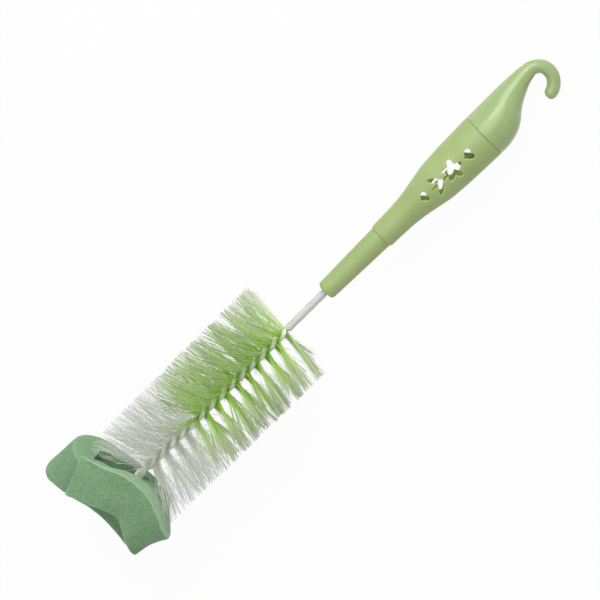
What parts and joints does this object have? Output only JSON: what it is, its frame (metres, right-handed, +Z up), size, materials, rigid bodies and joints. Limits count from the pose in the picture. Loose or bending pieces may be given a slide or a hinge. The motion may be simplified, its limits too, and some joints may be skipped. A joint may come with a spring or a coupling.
{
  "type": "bottle brush",
  "caption": "Hand bottle brush with a hooked hollow handle, a turning twisted-wire stem, two-tone radial bristles and a folded foam strip at the tip.",
  "frame": {"origin": "centre of the underside of the bounding box, with the brush lying on a table on its bristles and its handle", "axes": "+X along the brush towards the hook, +Y across the hook away from its mouth, +Z up"},
  "size_m": [0.3138, 0.0642, 0.0662],
  "materials": {
    "cap_gloss": "gloss moulded light green",
    "grip_satin": "satin moulded light green",
    "sheath_white": "smooth white plastic",
    "clip_steel": "drawn bright spring wire",
    "wire_coat": "white plastic coat over steel wire",
    "fibre_green": "bright green filament with paler tips",
    "fibre_white": "translucent white filament",
    "foam_green": "open-cell foam, green"
  },
  "bodies": {
    "handle": {"handle_body": "grip_satin"},
    "head": {"stem_sleeve": "grip_satin", "swivel_clip": "clip_steel", "stem_sheath": "sheath_white", "wire_strand_a": "wire_coat", "wire_strand_b": "wire_coat", "green_bristles": "fibre_green", "white_bristles": "fibre_white", "sponge_strip": "foam_green"},
    "cap": {"hook_cap": "cap_gloss"}
  },
  "joints": [
    {"name": "head_swivel", "type": "hinge", "parent": "handle", "child": "head", "pos_m": [0.04956, -0.0019, 0.01939], "axis": [0.9937, 0, -0.1119], "continuous": true},
    {"name": "cap_pull", "type": "slide", "parent": "handle", "child": "cap", "axis": [0.9937, 0, -0.1119], "range_m": [0, 0.02]}
  ]
}
